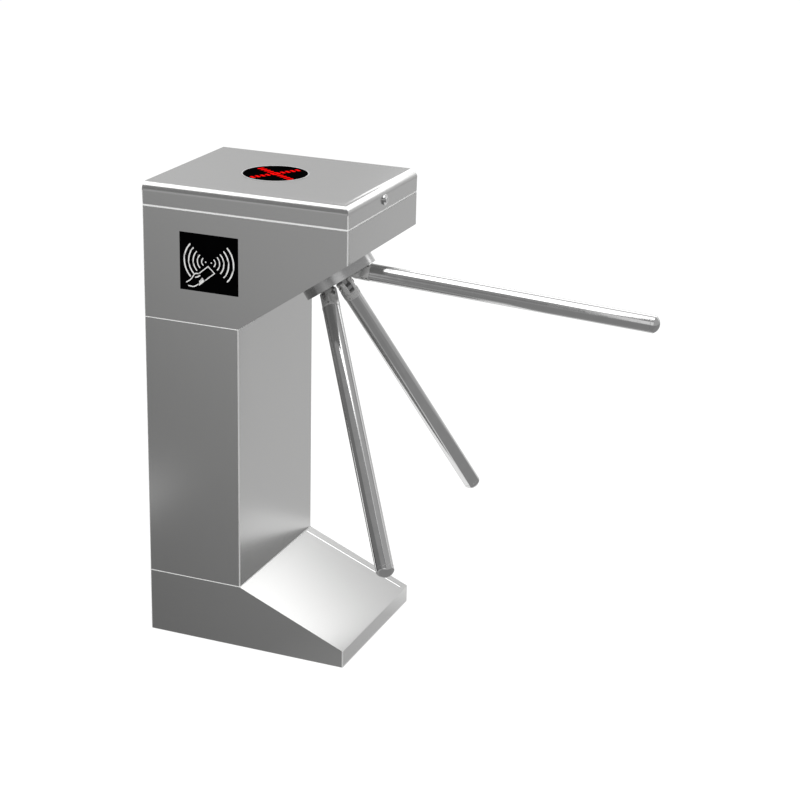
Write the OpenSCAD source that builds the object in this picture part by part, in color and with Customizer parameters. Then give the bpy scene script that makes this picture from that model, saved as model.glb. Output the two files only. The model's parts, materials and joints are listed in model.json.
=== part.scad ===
// Tripod turnstile: stainless cabinet with a slanted underside that carries three arms.
// The origin is the middle of the plinth on the floor, +Z up, +X towards the passage,
// and the near reader window faces -Y.

/* [Cabinet] */
// Length of head and plinth along X
cabinet_l = 450; // [400:1:540]
// Width along Y
cabinet_w = 355; // [320:1:420]
// Overall height
cabinet_h = 985; // [960:1:1040]
// Depth of the column along X
column_d = 213; // [190:1:235]
// Height of the plinth where the column stands on it
plinth_h = 137; // [110:1:160]
// Height of the plinth's front edge
toe_h = 37; // [25:1:60]
// Height of the lid with its gasket
lid_rise = 50; // [38:1:52]
// Height of the head's rear wall
head_h = 230.5; // [222:0.5:246]
// Sheet thickness of the cabinet
sheet = 2; // [1.5:0.1:3]
// Height of the seam strips between plinth, column and head
seam_h = 2; // [1:0.5:4]
// Width of the seam strips
seam_w = 5; // [3:0.5:7]
// Width of the folded rims at the openings
rim_w = 20; // [18:1:26]

/* [Floor plate] */
// Thickness of the floor plate
floor_t = 6; // [4:1:10]
// Anchor hole diameter
anchor_d = 14; // [10:1:18]
// Anchor hole spacing along X
anchor_sx = 150; // [110:1:160]
// Anchor hole spacing along Y
anchor_sy = 270; // [200:1:290]
// Cable hole diameter
cable_hole_d = 60; // [30:1:80]

/* [Rear access panel] */
// Panel width
door_w = 240; // [160:1:280]
// Distance from the column's lower end to the panel
door_foot = 71; // [31:1:101]
// Distance from the panel to the column's upper end
door_head = 132.5; // [62:0.5:180]
// Overlap of the panel on the column
door_lap = 10; // [8:1:16]
// Panel thickness
door_t = 1.5; // [1:0.1:3]
// Panel screw diameter
door_screw_d = 5; // [4:0.5:6]
// Number of louvres
louvres = 6; // [3:1:8]
// Length of each louvre
louvre_l = 100; // [60:1:130]
// Height of each louvre
louvre_h = 4; // [3:0.5:6]
// Spacing of the louvres
louvre_pitch = 12; // [8:1:16]
// Distance from the panel's lower edge to the first louvre
louvre_foot = 40; // [20:1:60]

/* [Slanted panel and hub] */
// Angle of the slanted underside from level
slant = 34.5; // [32:0.5:37]
// Distance up the slant from the column to the hub axis
hub_s = 157.8; // [150:0.1:166]
// Angle of the hub axis below level
hub_tilt = 42.1; // [41:0.1:44]
// Diameter of the hub flange
flange_d = 160; // [158:1:170]
// Thickness of the hub flange
flange_h = 21; // [20:0.5:22]
// Distance up the slant from the hub axis to the flange's centre
flange_shift = 5.7; // [5:0.1:6.5]
// Diameter of the hub rotor
rotor_d = 120; // [116:1:121]
// Gap around the rotor
rotor_gap = 2; // [1:0.1:2.5]
// Thickness of the rotor disc
rotor_t = 20; // [16:1:22]
// Diameter of the bolt that holds the rotor
rotor_bolt_d = 12; // [10:1:12]
// Depth of the rotor's face below the point where the arm axes meet the hub axis
rotor_face = 34; // [32:0.5:35]
// Wall of the flange's inner cup
cup_wall = 4; // [3:0.5:5]

/* [Arms] */
// Angle between each arm and the hub axis
arm_angle = 37.65; // [36:0.05:39]
// Turn of the arms at rest from straight up
arm_phase = -11.7; // [-20:0.1:20]
// Sideways offset of each arm from the hub axis
arm_offset = 11.7; // [9:0.1:14]
// Tube diameter
tube_d = 36; // [32:0.5:37]
// Tube wall
tube_wall = 1.5; // [1.2:0.1:2.5]
// Distance from the hub's apex to the tube
tube_start = 101; // [101:0.5:106]
// Distance from the hub's apex to the arm's tip
arm_reach = 694; // [560:1:760]
// Length of the end cap that shows
cap_len = 18; // [14:1:26]
// Radius of the end cap's dome
dome_r = 20; // [19:0.5:30]
// Length of the plugs inside the tube
plug_len = 40; // [20:1:60]
// Collar diameter
collar_d = 37; // [36.5:0.5:38]
// Width across the fork's cheeks
fork_w = 28; // [26:0.5:30]
// Width of the fork's slot
slot_w = 12; // [10:0.5:14]
// Depth of the fork's slot
slot_depth = 27; // [26:0.5:30]
// Gap between lug and fork on each side
lug_gap = 0.1; // [0.05:0.05:0.3]
// Diameter of the fork bolts
fork_bolt_d = 5.5; // [5:0.5:6]
// Distance of the first fork bolt from the apex
fork_bolt_r = 62.5; // [62:0.5:63]
// Spacing of the two fork bolts
fork_bolt_pitch = 11; // [10.5:0.5:11.5]
// Set screw diameter
set_screw_d = 5; // [4:0.5:6]

/* [Lid] */
// Gap between head and lid, filled by the gasket
lid_gap = 4.5; // [3:0.5:6]
// How far the gasket is set back from the faces
gasket_inset = 0.5; // [0.5:0.5:4]
// Width of the gasket
gasket_w = 12; // [8:1:13]
// Radius of the lid's near and front top edges
lid_r = 19; // [10:1:24]
// Radius of the lid's far and rear top edges
lid_back_r = 4; // [3:0.5:18]
// Sheet thickness of the lid
lid_t = 1.5; // [1:0.1:2]
// Width of the lid's folded rim
lid_rim_w = 13; // [8:1:15]
// Length of the hinge along the rear edge
hinge_l = 280; // [200:1:320]
// Number of hinge knuckles
knuckles = 7; // [5:2:11]
// Radius of the hinge knuckles
knuckle_r = 3.6; // [3.2:0.1:5]
// Radius of the hinge pin
hinge_pin_r = 1.6; // [1.2:0.1:2]
// Height of each hinge leaf
leaf_h = 16; // [12:1:22]
// Running gap of pins in their holes
pin_gap = 0.05; // [0.03:0.01:0.1]

/* [Lid lock] */
// Sideways place of the lock
lock_y = 2; // [-20:1:20]
// Diameter of the lock body
lock_d = 19; // [16:1:22]
// Diameter of the lock's outer ring
lock_ring_d = 22; // [20:1:26]
// Diameter of the lock plug
plug_d = 12; // [10:0.5:14]
// How far the ring stands out
lock_ring_t = 3; // [2:0.5:4]
// How far the plug stands out
lock_nose = 6; // [4:0.5:8]
// Length of the lock cam
cam_len = 20; // [16:1:21]
// Width of the lock cam
cam_w = 9; // [7:1:10]
// Distance from the head's top edge to the keeper's lower edge
keeper_drop = 8; // [6:0.5:14]

/* [Indicator] */
// Indicator diameter
lamp_d = 138; // [100:1:150]
// Place of the indicator along X
lamp_x = -17; // [-40:1:0]
// Place of the indicator along Y
lamp_y = 4; // [-30:1:40]
// Width of the indicator's rim
lamp_rim_w = 2.5; // [1.5:0.5:5]
// Thickness of the lens
lens_t = 4; // [3:0.5:6]
// Length of each stroke of the cross
cross_l = 120; // [80:1:124]
// Width of each stroke of the cross
cross_w = 13; // [8:1:20]
// Turn of the cross
cross_turn = 59; // [0:1:90]

/* [Reader windows] */
// Window width
window_w = 130; // [100:1:150]
// Window height
window_h = 119; // [90:1:125]
// Window centre along X
window_x = -76.5; // [-90:0.5:-60]
// Distance of the window's centre below the head's top edge
window_drop = 102.2; // [91:0.1:111]
// Gap around the window
window_gap = 0.3; // [0.2:0.1:0.6]

/* [Bearings and shaft] */
// Shaft diameter
shaft_d = 30; // [28:1:32]
// Bearing outside diameter
bearing_d = 62; // [60:1:62]
// Bearing width
bearing_w = 16; // [14:1:17]
// Number of balls in each bearing
balls = 9; // [7:1:10]
// Ball diameter
ball_d = 9; // [8:0.5:9.5]

/* [Mechanism frame] */
// Thickness of the frame plates
plate_t = 6; // [5:1:7]
// Clear distance between front and rear plate
plate_gap = 60; // [60:1:64]
// Gap between each solenoid and its side plate
frame_gap = 6.7; // [4:0.1:12]
// Thickness of the side plates
side_t = 4; // [3:1:5]
// Reach of the frame above the hub axis
frame_up = 60; // [58:1:62]
// Reach of the frame below the hub axis
frame_down = 118; // [114:1:119]
// Radius of the screw circle between front plate and flange
front_screws_r = 50; // [47:0.5:52]
// Radius of the screw circle of the bearing housing
housing_screws_r = 41; // [40:0.5:43]
// Diameter of the mechanism's screws
frame_screw_d = 5; // [4:0.5:5.5]

/* [Locking] */
// Locking wheel diameter
wheel_d = 100; // [96:1:102]
// Locking wheel thickness
wheel_t = 8; // [6:1:10]
// Number of notches, a multiple of the three arm positions
notches = 12; // [12:12:24]
// Notch width
notch_w = 10; // [9.5:0.1:10.5]
// Notch depth
notch_depth = 8; // [8:0.5:9]
// Clearance of the released pawl above the wheel
pawl_lift = 2.3; // [2:0.1:3]
// Distance from the pawl's pivot to its nose
pawl_arm = 44; // [43:1:46]
// Pawl pivot pin diameter
pawl_pin_d = 8; // [6:1:9]
// Plunger diameter
plunger_d = 8; // [6:1:9]
// Solenoid length
solenoid_l = 36; // [30:1:37]
// Solenoid width
solenoid_w = 30; // [26:1:32]

/* [Drive] */
// Large pulley diameter
pulley_d = 80; // [76:1:82]
// Small pulley diameter
small_pulley_d = 28; // [26:1:32]
// Belt width
belt_w = 12; // [10:1:12]
// Belt thickness
belt_t = 2; // [1.5:0.1:2.5]
// Distance between the pulley centres
belt_centres = 86; // [84:1:88]
// Motor diameter
motor_d = 52; // [48:1:54]
// Motor shaft diameter
motor_shaft_d = 8; // [6:1:10]

/* [Encoder] */
// Encoder disc diameter
encoder_d = 92; // [90:1:94]
// Number of slots in the encoder disc
encoder_slots = 24; // [12:6:36]

/* [Electrical] */
// Control board width along Y
board_w = 220; // [160:1:260]
// Control board height
board_h = 140; // [120:1:150]
// Power supply width along Y
supply_w = 90; // [70:1:110]
// Power supply height
supply_h = 130; // [100:1:160]
// Power supply depth
supply_d = 42; // [30:1:50]
// Wiring loom diameter
loom_d = 8; // [6:0.5:10]
// Sideways place of the loom and of its plug on the board
loom_y = -55; // [-80:1:-45]
// Distance from the column's lower end to the equipment plate
equip_foot = 141; // [101:1:161]
// Equipment plate height
equip_h = 190; // [180:1:240]
// Equipment plate thickness
equip_t = 3; // [2:0.5:4]
// Margin of the equipment plate beside the pieces on it
equip_edge = 8; // [4:1:12]
// Gap between the power supply and the terminals
supply_gap = 20; // [10:1:26]
// Number of terminals
terminals = 10; // [6:1:10]
// Spacing of the terminals
terminal_pitch = 12; // [10:0.5:13]
// Terminal height
terminal_h = 55; // [45:1:70]
// Terminal depth
terminal_d = 33; // [25:1:38]
// Height of the terminals' rail
rail_h = 35; // [30:1:40]
// Depth of the terminals' rail
rail_d = 7; // [5:0.5:12]
// Distance from the column's upper end to the loom's bend
loom_rise = 28; // [24:1:40]

/* [Hidden] */

$fn = 64;
eps = 0.01;
x_back = -cabinet_l / 2;
x_front = cabinet_l / 2;
y_side = cabinet_w / 2;
x_col = x_back + column_d;
col_mid = x_back + column_d / 2;
head_top_z = cabinet_h - lid_rise;
head_z = head_top_z - head_h;
col_z0 = plinth_h + seam_h;
col_z1 = head_z - seam_h;
door_z = col_z0 + door_foot;
door_h = col_z1 - door_head - door_z;
window_z = head_top_z - window_drop;
lid_z = head_top_z + lid_gap;
lid_h = cabinet_h - lid_z;
head_front_z = head_z + cabinet_l * tan(slant) - column_d * tan(slant);
toe_angle = atan((plinth_h - toe_h) / (cabinet_l - column_d));

// The hub frame: the apex is where the arms' angle starts from the hub axis
slant_dir = [cos(slant), 0, sin(slant)];
hub_dir = [cos(hub_tilt), 0, -sin(hub_tilt)];
panel_point = [x_col, 0, head_z] + hub_s * slant_dir;
apex_depth = 27.2;
apex = panel_point - apex_depth * hub_dir;

rotor_r = rotor_d / 2;
cup_r = rotor_r + rotor_gap;
cup_out_r = cup_r + cup_wall;
shaft_r = shaft_d / 2;
bearing_r = bearing_d / 2;
race_t = (bearing_r - shaft_r - ball_d) / 2 - 0.1;
lip_r = bearing_r - race_t;
cup_z0 = -14;
cup_floor = 18;
plate_z1 = cup_z0;
plate_z0 = plate_z1 - plate_t;
rear_z1 = plate_z0 - plate_gap;
rear_z0 = rear_z1 - plate_t;
fork_z0 = 57;
fork_bolts_r = [fork_bolt_r, fork_bolt_r + fork_bolt_pitch];
fork_trim = 12;
cap_z = arm_reach - cap_len;
wheel_r = wheel_d / 2;
wheel_z = -46;
pawl_nose_y = wheel_r + pawl_lift;
pawl_pivot = [-pawl_arm, pawl_nose_y - notch_depth / 2 - 0.3];
pawl_top = pawl_nose_y + 14;
plunger_gap = 0.4;
side_gap = 0.3;
solenoid_y = pawl_top + 18;
frame_w = 2 * (solenoid_y + solenoid_l + frame_gap + side_t);
solenoid_mid_z = wheel_z + wheel_t / 2;
pawl_boss_r = pawl_pin_d / 2 + 5;
pulley_z = rear_z0 - 4 - belt_w - 2;
hinge_x = x_back - knuckle_r - 0.4;
hinge_z = head_top_z;
lock_z = lid_z + lid_h / 2 - 3.5;
knuckle_l = hinge_l / knuckles;
board_x = x_back + sheet + 10;
board_z = head_z + 56;
equip_x = x_col - sheet - equip_t;
equip_mid = col_z0 + equip_foot + equip_h / 2;
rail_l = terminals * terminal_pitch + 4;
equip_w = supply_w + supply_gap + rail_l + 2 * equip_edge;
supply_y = equip_edge - equip_w / 2;
rail_y = supply_y + supply_w + supply_gap;
loom_r = loom_d / 2;
steel = [0.66, 0.67, 0.67];
dark_steel = [0.42, 0.43, 0.44];
polished = [0.80, 0.81, 0.82];
alloy = [0.72, 0.73, 0.74];
black = [0.05, 0.05, 0.06];

module in_hub() {
    translate(apex) rotate([0, 90 + hub_tilt, 0]) rotate([0, 0, 180]) children();
}

// +Z points out of the slanted panel, s is the distance up the slant from the column
module on_slant(s) {
    translate([x_col, 0, head_z] + s * slant_dir) rotate([0, 180 - slant, 0])
        rotate([0, 0, 180]) children();
}

// +Z runs along the arm from its foot, +X points away from the hub axis
module in_arm(k) {
    in_hub() rotate([0, 0, arm_phase + 120 * k]) translate([0, arm_offset, 0])
        rotate([0, arm_angle, 0]) children();
}

// A profile drawn in X and Z, spread evenly along Y
module along_y(w) {
    rotate([90, 0, 0]) linear_extrude(w, center = true) children();
}

module box(x0, x1, y0, y1, z0, z1) {
    translate([x0, y0, z0]) cube([x1 - x0, y1 - y0, z1 - z0]);
}

module tube(r_out, r_in, h) {
    difference() {
        cylinder(r = r_out, h = h);
        translate([0, 0, -1]) cylinder(r = r_in, h = h + 2);
    }
}

module rect_ring(x0, x1, half_y, w, z0, z1) {
    difference() {
        box(x0, x1, -half_y, half_y, z0, z1);
        box(x0 + w, x1 - w, -half_y + w, half_y - w, z0 - 1, z1 + 1);
    }
}

// Places of the bolts in the rims above and below the column
module at_rim_bolts() {
    for (dx = [-60, 60], side = [-1, 1])
        translate([col_mid + dx, side * (y_side - rim_w / 2 - 1), 0]) children();
}

module screw(d, length, head_d, head_h) {
    cylinder(d = d, h = length);
    translate([0, 0, length]) cylinder(d = head_d, h = head_h);
}

// Cabinet
module column_opening(z0, z1) {
    box(x_back + rim_w, x_col - rim_w, -y_side + rim_w, y_side - rim_w, z0, z1);
}

module base_shell() {
    drop = sheet / cos(toe_angle);
    rise = tan(toe_angle);
    inner_x = x_col + (sheet - drop) / rise;
    inner_toe = toe_h - drop + sheet * rise;
    color(steel) difference() {
        along_y(cabinet_w)
            polygon([[x_back, 0], [x_front, 0], [x_front, toe_h], [x_col, plinth_h], [x_back, plinth_h]]);
        along_y(cabinet_w - 2 * sheet)
            polygon([[x_back + sheet, -1], [x_front - sheet, -1], [x_front - sheet, inner_toe],
                     [inner_x, plinth_h - sheet], [x_back + sheet, plinth_h - sheet]]);
        column_opening(plinth_h - 10, plinth_h + 1);
        at_rim_bolts() translate([0, 0, plinth_h - 10]) cylinder(d = 8.5, h = 20);
    }
}

module floor_plate() {
    color(dark_steel) difference() {
        box(x_back + sheet, x_front - sheet, -y_side + sheet, y_side - sheet, 0, floor_t);
        translate([col_mid, 0, -1]) {
            cylinder(d = cable_hole_d, h = floor_t + 2);
            for (sx = [-1, 1], sy = [-1, 1])
                translate([sx * anchor_sx / 2, sy * anchor_sy / 2, 0])
                    cylinder(d = anchor_d, h = floor_t + 2);
        }
    }
}

module column_shell() {
    color(steel) difference() {
        box(x_back, x_col, -y_side, y_side, col_z0, col_z1);
        box(x_back + sheet, x_col - sheet, -y_side + sheet, y_side - sheet, col_z0 + sheet, col_z1 - sheet);
        column_opening(col_z0 - 1, col_z1 + 1);
        box(x_back - 1, x_back + sheet + 1, -door_w / 2 + door_lap, door_w / 2 - door_lap,
            door_z + door_lap, door_z + door_h - door_lap);
        at_access_screws() translate([0, 0, -20]) cylinder(d = door_screw_d, h = 40);
        at_rim_bolts() translate([0, 0, col_z0 - 5]) cylinder(d = 8.5, h = 10);
        at_rim_bolts() translate([0, 0, col_z1 - 5]) cylinder(d = 8.5, h = 10);
    }
}

// +Z points backwards out of the column's rear face
module at_access_screws() {
    for (sy = [-1, 1], z = [door_z + door_lap / 2, door_z + door_h - door_lap / 2])
        translate([x_back, sy * (door_w / 2 - door_lap / 2), z]) rotate([0, -90, 0]) children();
}

module rear_access_panel() {
    color(steel) difference() {
        box(x_back - door_t, x_back, -door_w / 2, door_w / 2, door_z, door_z + door_h);
        at_access_screws() translate([0, 0, -5]) cylinder(d = door_screw_d, h = 10);
        for (k = [0:louvres - 1])
            translate([0, 0, door_z + louvre_foot + louvre_pitch * k])
                box(x_back - door_t - 1, x_back + 1, -louvre_l / 2, louvre_l / 2, 0, louvre_h);
    }
}

// Screws of the rear panel, bolts of the seams and spacers of the control board
module cabinet_fasteners() {
    board_spacers();
    color(polished) at_access_screws() translate([0, 0, -8])
        screw(door_screw_d, 8 + door_t, door_screw_d * 1.8, 2.4);
    color(dark_steel) at_rim_bolts() {
        translate([0, 0, plinth_h - sheet]) rim_bolt();
        translate([0, 0, col_z1 - sheet]) rim_bolt();
    }
}

module head_shell() {
    lift = sheet / cos(slant);
    rise = tan(slant);
    inner_x = x_col + (sheet - lift) / rise;
    inner_front = head_z + lift + (x_front - sheet - x_col) * rise;
    color(steel) difference() {
        along_y(cabinet_w)
            polygon([[x_back, head_z], [x_col, head_z], [x_front, head_front_z],
                     [x_front, head_top_z], [x_back, head_top_z]]);
        along_y(cabinet_w - 2 * sheet)
            polygon([[x_back + sheet, head_z + sheet], [inner_x, head_z + sheet],
                     [x_front - sheet, inner_front], [x_front - sheet, head_top_z - sheet],
                     [x_back + sheet, head_top_z - sheet]]);
        box(x_back + rim_w, x_front - rim_w, -y_side + rim_w, y_side - rim_w, head_top_z - 5, head_top_z + 1);
        column_opening(head_z - 1, head_z + 5);
        at_rim_bolts() translate([0, 0, head_z - 5]) cylinder(d = 8.5, h = 10);
        for (side = [-1, 1])
            window_box(side, window_w / 2 + window_gap, window_h / 2 + window_gap, sheet + 1, 1);
        in_hub() translate([0, 0, -10]) cylinder(r = cup_out_r + 0.5, h = 60, $fn = 96);
        at_flange_screws() translate([0, 0, -5]) cylinder(d = 4.5, h = 10);
    }
}

// Strips in the seams above and below the column
module seam_strips() {
    color(polished) {
        rect_ring(x_back, x_col, y_side, seam_w, plinth_h, col_z0);
        rect_ring(x_back, x_col, y_side, seam_w, col_z1, head_z);
    }
}

// A bolt up through two rims with its head below and its nut above
module rim_bolt() {
    grip = 2 * sheet + seam_h;
    translate([0, 0, -5]) cylinder(d = 13, h = 5, $fn = 6);
    cylinder(d = 8, h = grip + 8);
    translate([0, 0, grip]) cylinder(d = 13, h = 6, $fn = 6);
}

// Reader windows
// A box in the side wall, reaching in by depth and out by proud
module window_box(side, half_w, half_h, depth, proud) {
    y_out = y_side + proud;
    translate([window_x - half_w, side > 0 ? y_side - depth : -y_out, window_z - half_h])
        cube([2 * half_w, depth + proud, 2 * half_h]);
}

module window_plate(side) {
    color(black) union() {
        window_box(side, window_w / 2, window_h / 2, sheet + eps, 0.3);
        difference() {
            window_box(side, window_w / 2 + 6, window_h / 2 + 6, sheet + 2.5, 0);
            window_box(side, window_w, window_h, sheet, 1);
        }
    }
}

module reader_window() {
    window_plate(-1);
}

module far_reader_window() {
    window_plate(1);
}

module reader_boards() {
    color([0.05, 0.32, 0.16]) for (side = [-1, 1]) {
        difference() {
            window_box(side, window_w / 2 - 6, window_h / 2 - 6, sheet + 8.1, 0);
            window_box(side, window_w, window_h, sheet + 6.5, 1);
        }
        for (sx = [-1, 1], sz = [-1, 1])
            translate([window_x + sx * (window_w / 2 - 12), side * (y_side - sheet - 2.5),
                       window_z + sz * (window_h / 2 - 12)])
                rotate([side * 90, 0, 0]) cylinder(d = 6, h = 4);
    }
}

// Hub flange
module at_flange_screws() {
    for (a = [0, 55, -55, 110, -110])
        on_slant(hub_s + flange_shift) rotate([0, 0, a]) translate([flange_d / 2 - 6.5, 0, 0]) children();
}

// The space that the turning forks sweep, measured from the hub axis
module fork_sweep() {
    z0 = 40;
    z1 = 80;
    r_at_52 = 62.9;
    flare = 0.716;
    translate([0, 0, z0]) cylinder(r1 = r_at_52 + flare * (z0 - 52.1), r2 = r_at_52 + flare * (z1 - 52.1),
                                   h = z1 - z0, $fn = 96);
}

module hub_flange() {
    color(alloy) difference() {
        union() {
            on_slant(hub_s + flange_shift) cylinder(d = flange_d, h = flange_h, $fn = 96);
            difference() {
                in_hub() translate([0, 0, cup_z0]) cylinder(r = cup_out_r, h = 60, $fn = 96);
                on_slant(hub_s) translate([-200, -200, flange_h / 2]) cube([400, 400, 100]);
            }
        }
        in_hub() {
            translate([0, 0, cup_z0 + cup_floor]) cylinder(r = cup_r, h = 100, $fn = 96);
            fork_sweep();
            translate([0, 0, cup_z0 - 1]) cylinder(r = bearing_r, h = bearing_w + 1);
            translate([0, 0, cup_z0]) cylinder(r = lip_r, h = 40);
            at_mechanism_screws(front_screws_r) translate([0, 0, cup_z0 - 1])
                cylinder(d = frame_screw_d, h = 13);
        }
        at_flange_screws() translate([0, 0, -1]) cylinder(d = 4, h = 13);
    }
}

// Mechanism frame, in the hub frame
module at_mechanism_screws(r) {
    for (a = [45:90:315]) rotate([0, 0, a]) translate([r, 0, 0]) children();
}

module frame_outline(z0, z1) {
    box(-frame_down, frame_up, -frame_w / 2 + side_t, frame_w / 2 - side_t, z0, z1);
}

// The front plate stands on two feet welded between it and the inside of the slanted panel
module front_plate() {
    color(dark_steel) frame_feet();
    color(dark_steel) in_hub() difference() {
        frame_outline(plate_z0, plate_z1);
        translate([0, 0, plate_z0 - 1]) cylinder(r = lip_r, h = plate_t + 2);
        at_mechanism_screws(front_screws_r) translate([0, 0, plate_z0 - 1])
            cylinder(d = frame_screw_d + 0.5, h = plate_t + 2);
        for (m = [-1, 1])
            translate([pawl_pivot[0], m * pawl_pivot[1], plate_z0 - 1])
                cylinder(d = pawl_pin_d, h = plate_t + 2);
    }
}

module rear_plate() {
    color(dark_steel) in_hub() difference() {
        frame_outline(rear_z0, rear_z1);
        translate([0, 0, rear_z0 - 1]) cylinder(r = lip_r, h = plate_t + 2);
        at_mechanism_screws(housing_screws_r) translate([0, 0, rear_z0 - 1])
            cylinder(d = frame_screw_d + 0.5, h = plate_t + 2);
        translate([-belt_centres, 0, rear_z0 - 1]) cylinder(d = motor_shaft_d + 8, h = plate_t + 2);
    }
}

module side_plates() {
    color(dark_steel) in_hub() for (m = [-1, 1])
        translate([-frame_down, m > 0 ? frame_w / 2 - side_t : -frame_w / 2, rear_z0])
            cube([frame_down + frame_up, side_t, plate_z1 - rear_z0]);
}

module frame_feet() {
    difference() {
        in_hub() for (m = [-1, 1])
            box(-frame_down, -frame_down + 20, m * 75 - 15, m * 75 + 15, plate_z1, plate_z1 + 40);
        on_slant(hub_s) translate([-300, -300, -sheet]) cube([600, 600, 100]);
    }
}

// Screws of the front plate, the bearing housing and the hub flange
module mechanism_screws() {
    color(polished) {
        in_hub() {
            at_mechanism_screws(front_screws_r) translate([0, 0, cup_z0 + 10]) rotate([180, 0, 0])
                screw(frame_screw_d, plate_t + 10, frame_screw_d * 1.7, frame_screw_d);
            at_mechanism_screws(housing_screws_r) translate([0, 0, rear_z0])
                screw(frame_screw_d, plate_t + 6, frame_screw_d * 1.7, 4);
        }
        at_flange_screws() translate([0, 0, 10]) rotate([180, 0, 0]) screw(4, 10.01 + sheet, 7, 3);
    }
}

module bearing_housing() {
    color(alloy) in_hub() difference() {
        union() {
            translate([0, 0, rear_z1]) cylinder(r = housing_screws_r + frame_screw_d, h = 6);
            translate([0, 0, rear_z1]) cylinder(r = bearing_r + 4, h = bearing_w + 2);
        }
        translate([0, 0, rear_z1 - 1]) cylinder(r = bearing_r, h = bearing_w + 1);
        translate([0, 0, rear_z1 - 1]) cylinder(r = lip_r, h = 40);
        at_mechanism_screws(housing_screws_r) translate([0, 0, rear_z1 - 1])
            cylinder(d = frame_screw_d, h = 8);
    }
}

module at_bearings() {
    for (z = [cup_z0, rear_z1]) translate([0, 0, z]) children();
}

module bearing_outer_rings() {
    color(polished) in_hub() at_bearings() tube(bearing_r, bearing_r - race_t, bearing_w);
}

module bearing_balls() {
    color(polished) in_hub() at_bearings() for (k = [1:balls])
        rotate([0, 0, 360 * k / balls]) translate([(shaft_r + bearing_r) / 2, 0, bearing_w / 2])
            sphere(d = ball_d, $fn = 24);
}

// Drive and locking, fixed pieces
module motor() {
    color(black) in_hub() translate([-belt_centres, 0, 0]) difference() {
        union() {
            translate([0, 0, rear_z1]) cylinder(d = motor_d, h = plate_gap - 5);
            translate([0, 0, rear_z0]) cylinder(d = motor_shaft_d + 8, h = plate_t + 1);
        }
        translate([0, 0, rear_z0 - 1]) cylinder(d = motor_shaft_d + 2 * pin_gap, h = 41);
    }
}

// Points round the belt's path at a given distance outside the pulleys' rims
function belt_path(grow) =
    let (big = pulley_d / 2 + grow, small = small_pulley_d / 2 + grow,
         lean = asin((big - small) / belt_centres))
    concat(
        [for (a = [-90 - lean:6:90 + lean]) [big * cos(a), big * sin(a)]],
        [for (a = [90 + lean:(180 - 2 * lean) / 16:270 - lean])
            [small * cos(a) - belt_centres, small * sin(a)]]);

module drive_belt() {
    color(black) in_hub() translate([0, 0, pulley_z + 2]) difference() {
        linear_extrude(belt_w) polygon(belt_path(0.3 + belt_t));
        translate([0, 0, -1]) linear_extrude(belt_w + 2) polygon(belt_path(0.3));
    }
}

// Mirrors its children to both sides of the hub axis
module both_sides() {
    for (m = [0, 1]) mirror([0, m, 0]) children();
}

module solenoids() {
    color([0.75, 0.55, 0.12]) in_hub() both_sides() difference() {
        union() {
            translate([-solenoid_w / 2, solenoid_y, solenoid_mid_z - solenoid_w / 2])
                cube([solenoid_w, solenoid_l, solenoid_w]);
            translate([-10, solenoid_y + 4, solenoid_mid_z])
                cube([20, solenoid_l - 8, plate_z0 - solenoid_mid_z]);
        }
        translate([0, solenoid_y - 1, solenoid_mid_z]) rotate([-90, 0, 0])
            cylinder(d = plunger_d + 2 * pin_gap, h = solenoid_l - 3);
    }
}

module pawl_pins() {
    color(polished) in_hub() both_sides() translate([pawl_pivot[0], pawl_pivot[1], 0]) {
        translate([0, 0, wheel_z - 2.5]) cylinder(d = pawl_pin_d, h = plate_z1 - wheel_z + 2.5);
        translate([0, 0, wheel_z + wheel_t + side_gap])
            cylinder(r = pawl_boss_r - 1, h = plate_z0 - wheel_z - wheel_t - side_gap);
        translate([0, 0, wheel_z - 2.5]) cylinder(r = pawl_boss_r - 1, h = 2.5 - side_gap);
    }
}

module light_sensors() {
    arm_z = wheel_z - 10;
    color(black) in_hub() for (side = [-1, 1]) translate([0, side * 12, 0]) difference() {
        box(encoder_d / 2 - 8, frame_up - 1, -5, 5, rear_z1, arm_z + 6);
        box(encoder_d / 2 - 9, encoder_d / 2 + 2, -6, 6, arm_z - 3, arm_z + 3);
        box(encoder_d / 2 - 9, encoder_d / 2 + 4, -6, 6, rear_z1 - 1, arm_z - 7);
    }
}

// Electrical pieces
module control_board() {
    color([0.05, 0.32, 0.16])
        box(board_x, board_x + 1.6, -board_w / 2, board_w / 2, board_z, board_z + board_h);
    color(black) {
        box(board_x + 1.6, board_x + 14, loom_y - 15, loom_y + 15, board_z + 4, board_z + 20);
        box(board_x + 1.6, board_x + 14, 10, 90, board_z + 4, board_z + 16);
        box(board_x + 1.6, board_x + 5, -30, 0, board_z + 60, board_z + 90);
        for (k = [0:3])
            box(board_x + 1.6, board_x + 17, 20 + 18 * k, 34 + 18 * k, board_z + 95, board_z + 115);
        for (k = [0:2])
            translate([board_x + 1.6, -90 + 16 * k, board_z + 110]) rotate([0, 90, 0])
                cylinder(d = 12, h = 18);
    }
}

module board_spacers() {
    color(polished) for (sy = [-1, 1], z = [board_z + 8, board_z + board_h - 8])
        translate([x_back + sheet, sy * (board_w / 2 - 8), z]) rotate([0, 90, 0]) cylinder(d = 7, h = 10);
}

module equipment_plate() {
    color(dark_steel) box(equip_x, x_col - sheet, -equip_w / 2, equip_w / 2,
                          equip_mid - equip_h / 2, equip_mid + equip_h / 2);
}

module power_supply() {
    slots = 10;
    pitch = (supply_h - 20) / slots;
    color([0.6, 0.61, 0.62])
    translate([equip_x - supply_d, supply_y, equip_mid - supply_h / 2]) difference() {
        cube([supply_d, supply_w, supply_h]);
        for (k = [0:slots - 1])
            translate([-1, 10, 10 + pitch * k]) cube([2, supply_w - 20, 4]);
    }
}

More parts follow.
